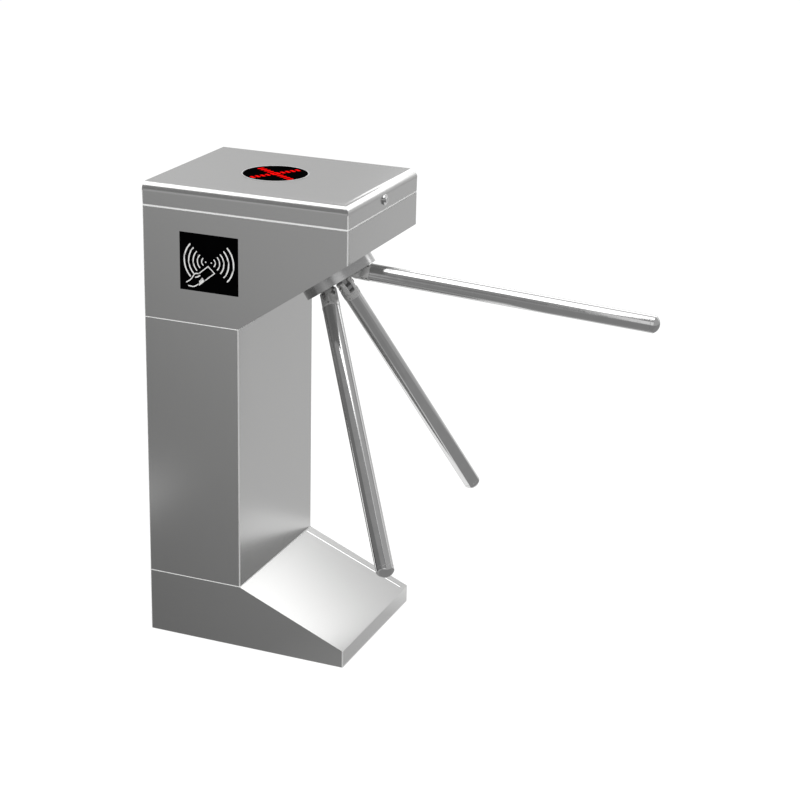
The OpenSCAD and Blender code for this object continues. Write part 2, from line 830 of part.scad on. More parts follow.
module terminal_rail() {
    rail_x = equip_x - rail_d;
    color(alloy) translate([rail_x, rail_y, equip_mid - rail_h / 2]) cube([rail_d, rail_l, rail_h]);
    color([0.30, 0.34, 0.38]) for (k = [0:terminals - 1])
        translate([rail_x - terminal_d, rail_y + 2.5 + terminal_pitch * k, equip_mid - terminal_h / 2])
            cube([terminal_d, terminal_pitch - 1, terminal_h]);
}

// The loom runs up the column, back under the board and up into its plug
module wiring_loom() {
    x0 = equip_x - supply_d / 2;
    z0 = equip_mid + supply_h / 2;
    z1 = col_z1 + loom_rise;
    x1 = board_x + 8;
    color(black) translate([0, loom_y, 0]) {
        translate([x0, 0, z0]) cylinder(r = loom_r, h = z1 - z0);
        translate([x0, 0, z1]) sphere(r = loom_r, $fn = 32);
        translate([x0, 0, z1]) rotate([0, -90, 0]) cylinder(r = loom_r, h = x0 - x1);
        translate([x1, 0, z1]) sphere(r = loom_r, $fn = 32);
        translate([x1, 0, z1]) cylinder(r = loom_r, h = board_z + 4 - z1);
    }
}

// Lid
// A profile whose top corners have radius r0 on the left and r1 on the right
module arch(w, h, r0, r1) {
    translate([-w / 2, 0]) square([w / 2, h - r0]);
    square([w / 2, h - r1]);
    translate([-w / 2 + r0, 0]) square([w - r0 - r1, h]);
    translate([-w / 2 + r0, h - r0]) circle(r0);
    translate([w / 2 - r1, h - r1]) circle(r1);
}

// A block with mitred top edges, radius r at the front and near side, back_r behind
module arched_block(l, w, h, r, back_r) {
    intersection() {
        rotate([90, 0, 0]) linear_extrude(w, center = true) arch(l, h, back_r, r);
        rotate([90, 0, 90]) linear_extrude(l, center = true) arch(w, h, r, back_r);
    }
}

module lid_shell() {
    color(steel) difference() {
        translate([0, 0, lid_z]) arched_block(cabinet_l, cabinet_w, lid_h, lid_r, lid_back_r);
        translate([0, 0, lid_z + lid_t])
            arched_block(cabinet_l - 2 * lid_t, cabinet_w - 2 * lid_t, lid_h - 2 * lid_t,
                         lid_r - lid_t, lid_back_r - lid_t);
        box(x_back + lid_rim_w, x_front - lid_rim_w, -y_side + lid_rim_w, y_side - lid_rim_w,
            lid_z - 1, lid_z + lid_t + 1);
        translate([lamp_x, lamp_y, cabinet_h - 5]) cylinder(d = lamp_d, h = 10);
        translate([x_front - 5, lock_y, lock_z]) rotate([0, 90, 0]) cylinder(d = lock_d, h = 10);
    }
}

module lid_gasket() {
    color([0.90, 0.90, 0.88])
        rect_ring(x_back + gasket_inset, x_front - gasket_inset, y_side - gasket_inset, gasket_w,
                  head_top_z, lid_z);
}

module at_lamp(z) {
    translate([lamp_x, lamp_y, z]) children();
}

module indicator_rim() {
    color(polished) at_lamp(0) {
        translate([0, 0, cabinet_h - lens_t]) tube(lamp_d / 2, lamp_d / 2 - lamp_rim_w, lens_t + 0.8);
        translate([0, 0, cabinet_h - lid_t - 2]) tube(lamp_d / 2 + 4, lamp_d / 2 - lamp_rim_w, 2);
    }
}

module indicator_lens() {
    color(black) at_lamp(cabinet_h - lens_t) cylinder(d = lamp_d - 2 * lamp_rim_w, h = lens_t + 0.3);
}

// The board of the lamps, with the two lit strokes that stand up to the lens
module indicator_lamps() {
    top = cabinet_h - lens_t;
    color([0.85, 0.04, 0.05]) at_lamp(0) {
        translate([0, 0, top - 8]) cylinder(d = lamp_d - 2 * lamp_rim_w - 2, h = 1.6);
        for (a = [0, 90]) rotate([0, 0, cross_turn + a])
            box(-cross_l / 2, cross_l / 2, -cross_w / 2, cross_w / 2, top - 6.4, top);
    }
}

// Knuckles along the rear edge, from the first one in steps of two
module hinge_knuckles(first) {
    for (k = [first:2:knuckles - 1])
        translate([hinge_x, -hinge_l / 2 + k * knuckle_l + 0.2, hinge_z]) rotate([-90, 0, 0])
            tube(knuckle_r, hinge_pin_r + pin_gap, knuckle_l - 0.4);
}

// The leaf's web from the knuckle to the cabinet wall and its plate on that wall
module hinge_leaf(first, z0, z1, web_z0, web_z1) {
    difference() {
        union() {
            hinge_knuckles(first);
            box(x_back - 1.5, x_back, -hinge_l / 2, hinge_l / 2, z0, z1);
            for (k = [first:2:knuckles - 1])
                box(hinge_x, x_back, -hinge_l / 2 + k * knuckle_l + 0.2,
                    -hinge_l / 2 + (k + 1) * knuckle_l - 0.2, web_z0, web_z1);
        }
        translate([hinge_x, 0, hinge_z]) rotate([90, 0, 0])
            cylinder(r = hinge_pin_r + pin_gap, h = hinge_l + 2, center = true);
    }
}

// The leaf on the head holds the pin in its knuckles
module head_hinge_leaf() {
    hinge_pin();
    color(polished) hinge_leaf(0, hinge_z - leaf_h - 5, hinge_z - 5, hinge_z - 7, hinge_z - 1.8);
}

module lid_hinge_leaf() {
    color(polished) hinge_leaf(1, hinge_z + 5, hinge_z + 5 + leaf_h, hinge_z + 1.8, hinge_z + 7);
}

module hinge_pin() {
    color(polished) translate([hinge_x, 0, hinge_z]) rotate([90, 0, 0]) {
        cylinder(r = hinge_pin_r, h = hinge_l, center = true);
        for (s = [-1, 1]) translate([0, 0, s * (hinge_l / 2 + 0.5)]) cylinder(r = 2.6, h = 1, center = true);
    }
}

module at_lock() {
    translate([x_front, lock_y, lock_z]) rotate([0, 90, 0]) children();
}

module lock_body() {
    color(polished) at_lock() difference() {
        union() {
            translate([0, 0, -19]) cylinder(d = lock_d, h = 20);
            cylinder(d = lock_ring_d, h = lock_ring_t);
            translate([0, 0, -lid_t - 5]) rotate([0, 0, 30]) cylinder(d = lock_d + 5, h = 3, $fn = 6);
        }
        translate([0, 0, -30]) cylinder(d = plug_d + 2 * pin_gap, h = 40);
    }
}

module lock_plug() {
    color(polished) at_lock() difference() {
        translate([0, 0, -25]) cylinder(d = plug_d, h = 25 + lock_nose);
        translate([-4, -0.8, lock_nose - 4]) cube([8, 1.6, 5]);
    }
}

// At rest the cam hangs straight down; a quarter turn puts it under the keeper
module lock_cam() {
    color(dark_steel) at_lock() translate([0, 0, -28]) {
        cylinder(d = cam_w, h = 3);
        box(0, cam_len, -cam_w / 2, cam_w / 2, 0, 3);
    }
}

module lock_keeper() {
    kx = x_front - 31.5;
    far_y = lock_y + cam_len + 4;
    color(dark_steel) {
        box(kx, kx + 8, far_y, far_y + 3, head_top_z - keeper_drop, lock_z + cam_w / 2 + 4);
        box(kx, kx + 8, far_y - 12, far_y, lock_z + cam_w / 2 + 1, lock_z + cam_w / 2 + 4);
        box(kx, x_front - sheet, far_y, far_y + 3, head_top_z - keeper_drop, head_top_z - sheet);
    }
}

// Hub rotor and arms
// A lug is cut back towards the hub axis, so that the fork's slot stays open at its mouth
module lug() {
    along_y(slot_w - 2 * lug_gap)
        polygon([[-7, 38], [12, 38], [12, 75], [8, 82], [-11, 82], [-15, 78], [-15, 70], [-7, 67]]);
}

module fork_bolt_holes(d) {
    for (r = fork_bolts_r) translate([-1, 0, r]) rotate([90, 0, 0]) cylinder(d = d, h = 80, center = true);
}

module hub_rotor() {
    color(alloy) difference() {
        union() {
            in_hub() {
                translate([0, 0, rotor_face - rotor_t]) cylinder(r = rotor_r, h = rotor_t, $fn = 96);
                translate([0, 0, cup_z0 + bearing_w])
                    cylinder(r = shaft_r + 5, h = rotor_face - cup_z0 - bearing_w);
            }
            for (k = [0:2]) in_arm(k) lug();
        }
        in_hub() translate([0, 0, -40]) cylinder(r = shaft_r, h = 70);
        in_hub() translate([0, 0, 20]) cylinder(d = rotor_bolt_d, h = 40);
        for (k = [0:2]) in_arm(k) fork_bolt_holes(fork_bolt_d);
    }
}

module main_shaft() {
    color(polished) in_hub() {
        translate([0, 0, pulley_z]) cylinder(r = shaft_r, h = 30 - pulley_z);
        translate([0, 0, pulley_z - 10]) cylinder(r = shaft_r - 3, h = 11);
        translate([0, 0, plate_z0 - 4]) cylinder(r = shaft_r + 5, h = plate_t + 4);
        translate([0, 0, 29]) cylinder(d = rotor_bolt_d, h = 8);
        translate([0, 0, rotor_face]) cylinder(d = rotor_bolt_d + 7, h = 7, $fn = 6);
    }
}

module bearing_inner_rings() {
    color(polished) in_hub() at_bearings() tube(shaft_r + race_t, shaft_r, bearing_w);
}

module locking_wheel() {
    color(dark_steel) in_hub() translate([0, 0, wheel_z]) difference() {
        union() {
            cylinder(r = wheel_r, h = wheel_t);
            translate([0, 0, -4]) cylinder(r = shaft_r + 8, h = plate_z0 - 4 - wheel_z + 4);
        }
        translate([0, 0, -10]) cylinder(r = shaft_r, h = 60);
        for (k = [1:notches]) rotate([0, 0, 360 * k / notches])
            translate([wheel_r - notch_depth, -notch_w / 2, -1])
                cube([notch_depth + 5, notch_w, wheel_t + 2]);
        for (k = [1:6]) rotate([0, 0, 60 * k + 15]) translate([(wheel_r + shaft_r) / 2, 0, -1])
            cylinder(d = 9, h = wheel_t + 2);
    }
}

module encoder_disc() {
    z = wheel_z - 10;
    color(alloy) in_hub() difference() {
        union() {
            translate([0, 0, z - 1]) cylinder(d = encoder_d, h = 2);
            translate([0, 0, rear_z1 + bearing_w + 3])
                cylinder(r = shaft_r + 6, h = wheel_z - 4 - rear_z1 - bearing_w - 3);
        }
        translate([0, 0, z - 20]) cylinder(r = shaft_r, h = 40);
        for (k = [1:encoder_slots]) rotate([0, 0, 360 * k / encoder_slots])
            translate([encoder_d / 2 - 8, -1.5, z - 2]) cube([5, 3, 4]);
    }
}

module large_pulley() {
    color(alloy) in_hub() translate([0, 0, pulley_z]) difference() {
        union() {
            cylinder(d = pulley_d, h = belt_w + 4);
            cylinder(d = pulley_d + 7, h = 1.5);
            translate([0, 0, belt_w + 2.5]) cylinder(d = pulley_d + 7, h = 1.5);
            cylinder(r = shaft_r + 5, h = rear_z1 - pulley_z);
        }
        translate([0, 0, -1]) cylinder(r = shaft_r, h = 60);
        for (k = [1:5]) rotate([0, 0, 72 * k]) translate([29, 0, -1]) cylinder(d = 14, h = belt_w + 6);
    }
}

module shaft_nut() {
    color(dark_steel) in_hub() translate([0, 0, pulley_z - 8]) difference() {
        cylinder(d = 36, h = 8, $fn = 6);
        translate([0, 0, -1]) cylinder(r = shaft_r - 3, h = 10);
    }
}

// A round bar milled to a fork: flat cheeks that run out in slopes before the collar,
// a slot for the lug, and an outer flat that clears the flange as the hub turns
module fork() {
    collar_r = collar_d / 2;
    cheek = fork_w / 2;
    z_full = tube_start - 11;
    z_cheek = tube_start - 21;
    z_trim = tube_start - 1;
    difference() {
        intersection() {
            translate([0, 0, fork_z0]) cylinder(r = collar_r, h = tube_start - fork_z0);
            rotate([90, 0, 90]) linear_extrude(60, center = true)
                polygon([[-cheek, fork_z0], [cheek, fork_z0], [cheek, z_cheek], [collar_r, z_full],
                         [collar_r, tube_start], [-collar_r, tube_start], [-collar_r, z_full],
                         [-cheek, z_cheek]]);
            rotate([90, 0, 0]) linear_extrude(60, center = true)
                polygon([[-collar_r + 8, fork_z0], [fork_trim - 4, fork_z0], [fork_trim, fork_z0 + 6],
                         [fork_trim, z_trim - 6], [collar_r, z_trim], [collar_r, tube_start],
                         [-collar_r, tube_start], [-collar_r, fork_z0 + 14]]);
        }
        box(-30, 30, -slot_w / 2, slot_w / 2, fork_z0 - 1, fork_z0 + slot_depth);
        fork_bolt_holes(fork_bolt_d);
    }
    translate([0, 0, tube_start - 1]) cylinder(d = tube_d - 2 * tube_wall, h = plug_len + 1);
}

module at_set_screws() {
    places = [[45, 5.5], [135, 5.5], [225, 5.5], [315, 5.5], [135, 14.5], [225, 14.5]];
    for (p = places) rotate([0, 0, p[0]]) translate([0, 0, tube_start - p[1]]) rotate([0, 90, 0]) children();
}

module arm_fork(k) {
    color(polished) in_arm(k) difference() {
        fork();
        at_set_screws() translate([0, 0, collar_d / 2 - 5]) cylinder(d = set_screw_d, h = 8);
    }
}

// Fork bolts, set screws and the nut that holds the pulley on the shaft
module hub_fasteners() {
    shaft_nut();
    head_h = 4;
    span = fork_w + 2 * head_h;
    color(polished) for (k = [0:2]) in_arm(k) {
        for (r = fork_bolts_r) translate([-1, 0, r]) rotate([90, 0, 0]) {
            cylinder(d = fork_bolt_d, h = span, center = true);
            for (s = [-1, 1]) translate([0, 0, s * (span - head_h) / 2])
                cylinder(d = fork_bolt_d + 4, h = head_h, center = true);
        }
        at_set_screws() translate([0, 0, collar_d / 2 - 5]) cylinder(d = set_screw_d, h = 4.4);
    }
}

module arm_tube(k) {
    color(polished) in_arm(k) translate([0, 0, tube_start])
        tube(tube_d / 2, tube_d / 2 - tube_wall, cap_z - tube_start);
}

module arm_cap(k) {
    color(polished) in_arm(k) {
        intersection() {
            translate([0, 0, cap_z]) cylinder(d = tube_d, h = cap_len);
            translate([0, 0, arm_reach - dome_r]) sphere(dome_r);
        }
        translate([0, 0, cap_z - plug_len]) cylinder(d = tube_d - 2 * tube_wall, h = plug_len + 1);
    }
}

// Coupled pieces
module motor_pulley() {
    color(alloy) in_hub() translate([-belt_centres, 0, pulley_z]) {
        cylinder(d = small_pulley_d, h = belt_w + 4);
        cylinder(d = small_pulley_d + 6, h = 1.5);
        translate([0, 0, belt_w + 2.5]) cylinder(d = small_pulley_d + 6, h = 1.5);
        cylinder(d = motor_shaft_d, h = rear_z1 + 30 - pulley_z);
    }
}

// The lever, drawn for the near side: pivot boss, arm over the wheel, and the nose
module pawl() {
    ny = pawl_nose_y;
    px = pawl_pivot[0];
    py = pawl_pivot[1];
    translate([0, 0, wheel_z]) difference() {
        union() {
            translate([px, py, 0]) cylinder(r = pawl_boss_r, h = wheel_t);
            linear_extrude(wheel_t)
                polygon([[px - 8, py], [px + 2, pawl_top], [8, pawl_top], [8, ny + 8], [4, ny + 7], [3.6, ny],
                         [-3.6, ny], [-4, ny + 6], [-30, ny + 6], [px + 8, py]]);
        }
        translate([px, py, -1]) cylinder(d = pawl_pin_d + 2 * pin_gap, h = wheel_t + 2);
    }
}

module near_pawl() {
    color(dark_steel) in_hub() pawl();
}

module far_pawl() {
    color(dark_steel) in_hub() mirror([0, 1, 0]) pawl();
}

module plunger() {
    r = plunger_d / 2;
    tip = pawl_top + plunger_gap;
    translate([0, tip + r, solenoid_mid_z]) {
        sphere(r, $fn = 32);
        rotate([-90, 0, 0]) cylinder(r = r, h = solenoid_y - tip - r + solenoid_l - 16);
    }
}

module near_plunger() {
    color(polished) in_hub() plunger();
}

module far_plunger() {
    color(polished) in_hub() mirror([0, 1, 0]) plunger();
}

base_shell();
floor_plate();
column_shell();
rear_access_panel();
cabinet_fasteners();
head_shell();
seam_strips();
lid_gasket();
reader_window();
far_reader_window();
reader_boards();
hub_flange();
front_plate();
rear_plate();
side_plates();
bearing_housing();
bearing_outer_rings();
bearing_balls();
mechanism_screws();
motor();
drive_belt();
solenoids();
pawl_pins();
light_sensors();
control_board();
equipment_plate();
power_supply();
terminal_rail();
wiring_loom();
head_hinge_leaf();
lock_keeper();
lid_shell();
indicator_rim();
indicator_lens();
indicator_lamps();
lid_hinge_leaf();
lock_body();
lock_plug();
lock_cam();
hub_rotor();
main_shaft();
bearing_inner_rings();
locking_wheel();
encoder_disc();
large_pulley();
arm_fork(0);  // arm_fork_1
arm_fork(1);  // arm_fork_2
arm_fork(2);  // arm_fork_3
arm_tube(0);  // arm_tube_1
arm_tube(1);  // arm_tube_2
arm_tube(2);  // arm_tube_3
arm_cap(0);  // arm_cap_1
arm_cap(1);  // arm_cap_2
arm_cap(2);  // arm_cap_3
hub_fasteners();
motor_pulley();
near_pawl();
far_pawl();
near_plunger();
far_plunger();
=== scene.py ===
"""Looks of the tripod turnstile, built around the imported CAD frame.

Every piece is in metres in the CAD's own frame: +Z up, +X towards the passage, and the near
reader window faces -Y. The cabinet's sheets and the machined pieces are the CAD solids with
eased edges. The sign, the lamp dots and the bead on the base's slope are made here.
"""
import json
import math

import bmesh
import bpy
from mathutils import Matrix, Vector


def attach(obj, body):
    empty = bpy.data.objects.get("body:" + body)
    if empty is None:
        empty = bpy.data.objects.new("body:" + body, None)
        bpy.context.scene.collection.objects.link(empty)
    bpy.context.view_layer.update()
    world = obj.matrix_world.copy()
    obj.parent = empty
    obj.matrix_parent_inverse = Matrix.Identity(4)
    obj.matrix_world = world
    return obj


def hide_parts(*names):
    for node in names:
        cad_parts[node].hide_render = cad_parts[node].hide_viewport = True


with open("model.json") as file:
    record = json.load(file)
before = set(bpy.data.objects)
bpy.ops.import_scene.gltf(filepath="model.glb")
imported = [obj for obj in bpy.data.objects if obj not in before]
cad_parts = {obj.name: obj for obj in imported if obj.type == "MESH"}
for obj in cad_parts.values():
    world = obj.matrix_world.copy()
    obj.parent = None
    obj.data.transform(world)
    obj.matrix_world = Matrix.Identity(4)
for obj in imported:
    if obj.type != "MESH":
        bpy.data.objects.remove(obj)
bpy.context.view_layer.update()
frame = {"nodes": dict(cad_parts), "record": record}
nodes = frame["nodes"]
bodies = frame["record"]["behaviour"]["bodies"]
body_of = {node: body for body, members in bodies.items() for node in members}


# Materials

PATTERN_LOW, PATTERN_HIGH = 0.3, 0.7  # most values of a noise lie between these


def set_inputs(node, **values):
    """Sets a node's inputs by name, with _ for each space, and gives the node back."""
    for name, value in values.items():
        node.inputs[name.replace("_", " ")].default_value = value
    return node


def shader(name):
    """A new material with its node tree, its Principled shader and object coordinates."""
    mat = bpy.data.materials.new(name)
    mat.use_nodes = True
    tree = mat.node_tree
    coords = tree.nodes.new("ShaderNodeTexCoord")
    return mat, tree, tree.nodes["Principled BSDF"], coords.outputs["Object"]


def noise(tree, coords, scale, stretch=(1, 1, 1)):
    """Noise with scale features a metre, drawn out along an axis where stretch is below 1."""
    mapping = set_inputs(tree.nodes.new("ShaderNodeMapping"), Scale=[scale * s for s in stretch])
    texture = set_inputs(tree.nodes.new("ShaderNodeTexNoise"), Scale=1, Detail=3)
    tree.links.new(coords, mapping.inputs["Vector"])
    tree.links.new(mapping.outputs["Vector"], texture.inputs["Vector"])
    return texture.outputs["Fac"]


def colour_range(tree, value, low, high):
    """A colour that goes from low to high with a pattern's value."""
    node = tree.nodes.new("ShaderNodeValToRGB")
    stops = node.color_ramp.elements
    stops[0].position, stops[1].position = PATTERN_LOW, PATTERN_HIGH
    stops[0].color, stops[1].color = (*low, 1), (*high, 1)
    tree.links.new(value, node.inputs["Fac"])
    return node.outputs["Color"]


def number_range(tree, value, low, high):
    """A number that goes from low to high with a pattern's value."""
    node = set_inputs(tree.nodes.new("ShaderNodeMapRange"), From_Min=PATTERN_LOW,
                      From_Max=PATTERN_HIGH, To_Min=low, To_Max=high)
    tree.links.new(value, node.inputs["Value"])
    return node.outputs["Result"]


def bump(tree, bsdf, value, height):
    """Lets a pattern's value raise the surface by up to height."""
    node = set_inputs(tree.nodes.new("ShaderNodeBump"), Strength=1, Distance=height)
    tree.links.new(value, node.inputs["Height"])
    tree.links.new(node.outputs["Normal"], bsdf.inputs["Normal"])


def finish(name, base, rough, scale, metallic=0, tone=0.02, stretch=(1, 1, 1),
           rough_range=0.05, height=0.00002, specular=0.5):
    """A surface whose tone, roughness and level drift slightly along its grain."""
    mat, tree, bsdf, coords = shader(name)
    grain = noise(tree, coords, scale, stretch)
    low = tuple(c * (1 - tone) for c in base)
    high = tuple(min(1, c * (1 + tone)) for c in base)
    tree.links.new(colour_range(tree, grain, low, high), bsdf.inputs["Base Color"])
    tree.links.new(number_range(tree, grain, rough - rough_range, rough + rough_range),
                   bsdf.inputs["Roughness"])
    set_inputs(bsdf, Metallic=metallic, Specular_IOR_Level=specular)
    bump(tree, bsdf, grain, height)
    return mat


SATIN = dict(base=(0.55, 0.55, 0.546), rough=0.22, scale=900, metallic=1, tone=0.015,
             rough_range=0.015, height=0.000002)
satin_upright = finish("satin_steel_upright", stretch=(1, 1, 0.02), **SATIN)
satin_level = finish("satin_steel_level", stretch=(0.02, 1, 1), **SATIN)
polished = finish("polished_steel", (0.74, 0.74, 0.74), rough=0.10, scale=60, metallic=1,
                  rough_range=0.03, height=0.000002)
fastener = finish("bright_fastener", (0.62, 0.62, 0.61), rough=0.22, scale=300, metallic=1,
                  tone=0.04, rough_range=0.04)
machined = finish("machined_alloy", (0.56, 0.56, 0.56), rough=0.24, scale=700, metallic=1,
                  tone=0.03, height=0.000004)
cast_alloy = finish("cast_alloy", (0.66, 0.66, 0.655), rough=0.30, scale=500, metallic=0.55,
                    tone=0.03, height=0.00001)
frame_paint = finish("frame_paint", (0.16, 0.165, 0.17), rough=0.45, scale=250, tone=0.06,
                     rough_range=0.08, height=0.00003)
zinc = finish("zinc_plate", (0.55, 0.56, 0.57), rough=0.34, scale=90, metallic=1, tone=0.10,
              rough_range=0.08, height=0.00001)
# Near-white seal colour; on the lid gasket and seam strips it also paints the bright edge
# highlights of the panel seams.
seal_white_and_seam_highlight = finish("seal_white_and_seam_highlight", (0.94, 0.94, 0.935), rough=0.45, scale=400)
black_gloss = finish("black_window", (0.001, 0.001, 0.0011), rough=0.30, scale=30, tone=0.2,
                     rough_range=0.04, height=0.000001, specular=0)
black_plastic = finish("black_plastic", (0.02, 0.02, 0.022), rough=0.5, scale=1500, tone=0.15,
                       rough_range=0.08, specular=0.3)
grey_plastic = finish("grey_plastic", (0.30, 0.34, 0.38), rough=0.45, scale=1500, tone=0.05)
belt_rubber = finish("belt_rubber", (0.018, 0.018, 0.018), rough=0.7, scale=1200, tone=0.2,
                     rough_range=0.08, height=0.00005, specular=0.2)
# Painted highlight: a brighter, less metallic finish that makes the folded corners show a bright
# line.
painted_edge_highlight = finish("painted_edge_highlight", (0.74, 0.74, 0.735), rough=0.40, scale=400, metallic=0.25,
                     height=0.000004)
pale_trim = finish("pale_trim", (0.46, 0.46, 0.46), rough=0.45, scale=400)
white_print = finish("white_print", (0.84, 0.84, 0.83), rough=0.5, scale=800, tone=0.01,
                     height=0.000002)


def lit_red():
    """Red lamps whose glow varies a little with a fine grain."""
    mat, tree, bsdf, coords = shader("lit_red")
    glow = colour_range(tree, noise(tree, coords, 500), (0.84, 0.001, 0.001), (0.92, 0.008, 0.006))
    tree.links.new(glow, bsdf.inputs["Emission Color"])
    set_inputs(bsdf, Base_Color=(0.30, 0.001, 0.001, 1), Emission_Strength=0.9, Roughness=0.5,
               Specular_IOR_Level=0)
    return mat


def circuit_board():
    """Green board with fine lighter tracks."""
    mat, tree, bsdf, coords = shader("circuit_board")
    tracks = set_inputs(tree.nodes.new("ShaderNodeTexVoronoi"), Scale=180)
    tracks.distance = "MANHATTAN"
    tree.links.new(coords, tracks.inputs["Vector"])
    away = tracks.outputs["Distance"]
    tree.links.new(colour_range(tree, away, (0.005, 0.07, 0.03), (0.02, 0.16, 0.07)),
                   bsdf.inputs["Base Color"])
    set_inputs(bsdf, Roughness=0.35)
    bump(tree, bsdf, away, 0.00002)
    return mat


def copper_winding():
    """Varnished copper wire, wound in fine turns."""
    mat, tree, bsdf, coords = shader("copper_winding")
    turns = set_inputs(tree.nodes.new("ShaderNodeTexWave"), Scale=320, Distortion=0.6)
    turns.bands_direction = "Y"
    tree.links.new(coords, turns.inputs["Vector"])
    ridge = turns.outputs["Fac"]
    tree.links.new(colour_range(tree, ridge, (0.30, 0.10, 0.03), (0.62, 0.26, 0.09)),
                   bsdf.inputs["Base Color"])
    set_inputs(bsdf, Metallic=0.8, Roughness=0.3)
    bump(tree, bsdf, ridge, 0.0002)
    return mat


red = lit_red()
board_green = circuit_board()
copper = copper_winding()


# CAD solids with eased edges

MERGE_DISTANCE = 2e-6
FLAT_ANGLE = math.radians(0.4)  # faces that meet at less become one flat face
SMOOTH_ANGLE = 32               # in degrees: an edge shades smooth below it
EASED_ANGLE = math.radians(40)  # an edge is eased above it
EASED_SEGMENTS = 2
FOLD_R, FOLD_SEGMENTS = 0.0022, 4

X_BACK, X_FRONT, X_COLUMN = -0.225, 0.225, -0.012  # the cabinet's back, toe and column front
Y_SIDE = 0.1775
NEAR = 0.0004
SHORTEST_FOLD = 0.02


def cleaned(node):
    """The node's mesh with its corners joined and its flat faces whole again."""
    bm = bmesh.new()
    bm.from_mesh(nodes[node].data)
    bmesh.ops.remove_doubles(bm, verts=bm.verts, dist=MERGE_DISTANCE)
    bmesh.ops.dissolve_limit(bm, angle_limit=FLAT_ANGLE, verts=bm.verts, edges=bm.edges)
    return bm


def object_from(bm, name, mat):
    """Turns a bmesh into an object of the scene with one material."""
    mesh = bpy.data.meshes.new(name)
    bm.to_mesh(mesh)
    bm.free()
    mesh.materials.append(mat)
    made = bpy.data.objects.new(name, mesh)
    bpy.context.scene.collection.objects.link(made)
    return made


def shown(bm, name, body, mat, node=None, sharp=SMOOTH_ANGLE):
    """Makes a piece of a bmesh, riding on a body, and standing for a CAD node if one is named."""
    piece = object_from(bm, name, mat)
    mesh = piece.data
    mesh.polygons.foreach_set("use_smooth", [True] * len(mesh.polygons))
    mesh.set_sharp_from_angle(angle=math.radians(sharp))
    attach(piece, body)
    if node:
        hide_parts(node)
    return piece


def upright_fold(edge):
    """Whether an edge is a folded corner between a side wall and a front or back wall."""
    a, b = (vert.co for vert in edge.verts)
    on_side = all(abs(abs(end.y) - Y_SIDE) < NEAR for end in (a, b))
    upright = abs(a.x - b.x) < NEAR and abs(a.y - b.y) < NEAR
    on_wall = any(abs(a.x - x) < NEAR for x in (X_BACK, X_FRONT, X_COLUMN))
    return on_side and upright and on_wall and abs(a.z - b.z) > SHORTEST_FOLD


def eased(node, mat, width, folded=False):
    """The node with every sharp edge eased by width; a folded sheet's upright corners are
    rounded first and get a brighter, less metallic finish that paints a highlight line on them."""
    bm = cleaned(node)
    if folded:
        bmesh.ops.bevel(bm, geom=[edge for edge in bm.edges if upright_fold(edge)],
                        offset=FOLD_R, segments=FOLD_SEGMENTS, profile=0.5, material=1,
                        affect="EDGES", clamp_overlap=False)
    piece = shown(bm, node + ".finish", body_of[node], mat, node)
    # The rounded corners take the painted highlight finish.
    if folded:
        piece.data.materials.append(painted_edge_highlight)
    bevel = piece.modifiers.new("edges", "BEVEL")
    bevel.width = width
    bevel.segments = EASED_SEGMENTS
    bevel.limit_method = "ANGLE"
    bevel.angle_limit = EASED_ANGLE
    normals = piece.modifiers.new("normals", "WEIGHTED_NORMAL")
    normals.keep_sharp = True


eased("column_shell", satin_upright, width=0.0003, folded=True)
eased("head_shell", satin_level, width=0.0003, folded=True)
eased("base_shell", satin_level, width=0.0004, folded=True)
eased("lid_shell", satin_level, width=0.0003, folded=True)
eased("rear_access_panel", satin_upright, width=0.0003)
eased("hub_flange", machined, width=0.0006)
eased("hub_rotor", machined, width=0.0005)
for arm in "123":
    eased("arm_fork_" + arm, cast_alloy, width=0.0005)
    eased("arm_tube_" + arm, polished, width=0.0003)
    eased("arm_cap_" + arm, polished, width=0.0004)
eased("hub_fasteners", fastener, width=0.0003)
eased("cabinet_fasteners", fastener, width=0.0003)
eased("mechanism_screws", fastener, width=0.0002)
eased("lock_body", polished, width=0.0004)
eased("lock_plug", polished, width=0.0004)
eased("indicator_rim", pale_trim, width=0.0002)
# Partly painted highlight: the near-white gasket and seam strips stand in for bright edge
# highlights at the seams.
eased("lid_gasket", seal_white_and_seam_highlight, width=0.0008)
eased("seam_strips", seal_white_and_seam_highlight, width=0.0002)

NEW_MATERIAL_ONLY = {
    frame_paint: "floor_plate front_plate rear_plate side_plates equipment_plate",
    zinc: "lock_keeper lock_cam locking_wheel near_pawl far_pawl power_supply",
    satin_level: "head_hinge_leaf lid_hinge_leaf",
    machined: "bearing_housing encoder_disc large_pulley motor_pulley",
    fastener: "bearing_outer_rings bearing_inner_rings bearing_balls pawl_pins main_shaft "
              "near_plunger far_plunger",
    black_gloss: "reader_window far_reader_window indicator_lens",
    black_plastic: "motor light_sensors wiring_loom",
    grey_plastic: "terminal_rail",
    belt_rubber: "drive_belt",
    board_green: "control_board reader_boards",
    copper: "solenoids",
    red: "indicator_lamps",
}
for mat, names in NEW_MATERIAL_ONLY.items():
    for node in names.split():
        nodes[node].data.materials.clear()
        nodes[node].data.materials.append(mat)


def join_outlines(bm, first, second):
    """Walls between two outlines with as many points each."""
    for a, b, c, d in zip(first, first[1:] + first[:1], second[1:] + second[:1], second):
        bm.faces.new((a, b, c, d))


# Folded seam: a narrow bead down the far side of the base's slope

SLOPE_TOP = Vector((-0.0116, 0, 0.1368))
DOWN_SLOPE, OUT_OF_SLOPE = Vector((0.921, 0, -0.389)), Vector((0.389, 0, 0.921))
BEAD_ENDS = ((0.002, 0.1521), (0.247, 0.1571))  # how far down the slope, and at which Y
BEAD_W, BEAD_T = 0.0026, 0.0005
BEAD_PROFILE = ((-0.5, 0), (0.35, 0.62), (0.5, -0.3))  # in widths across, in heights out
BEAD_SHARP = 5

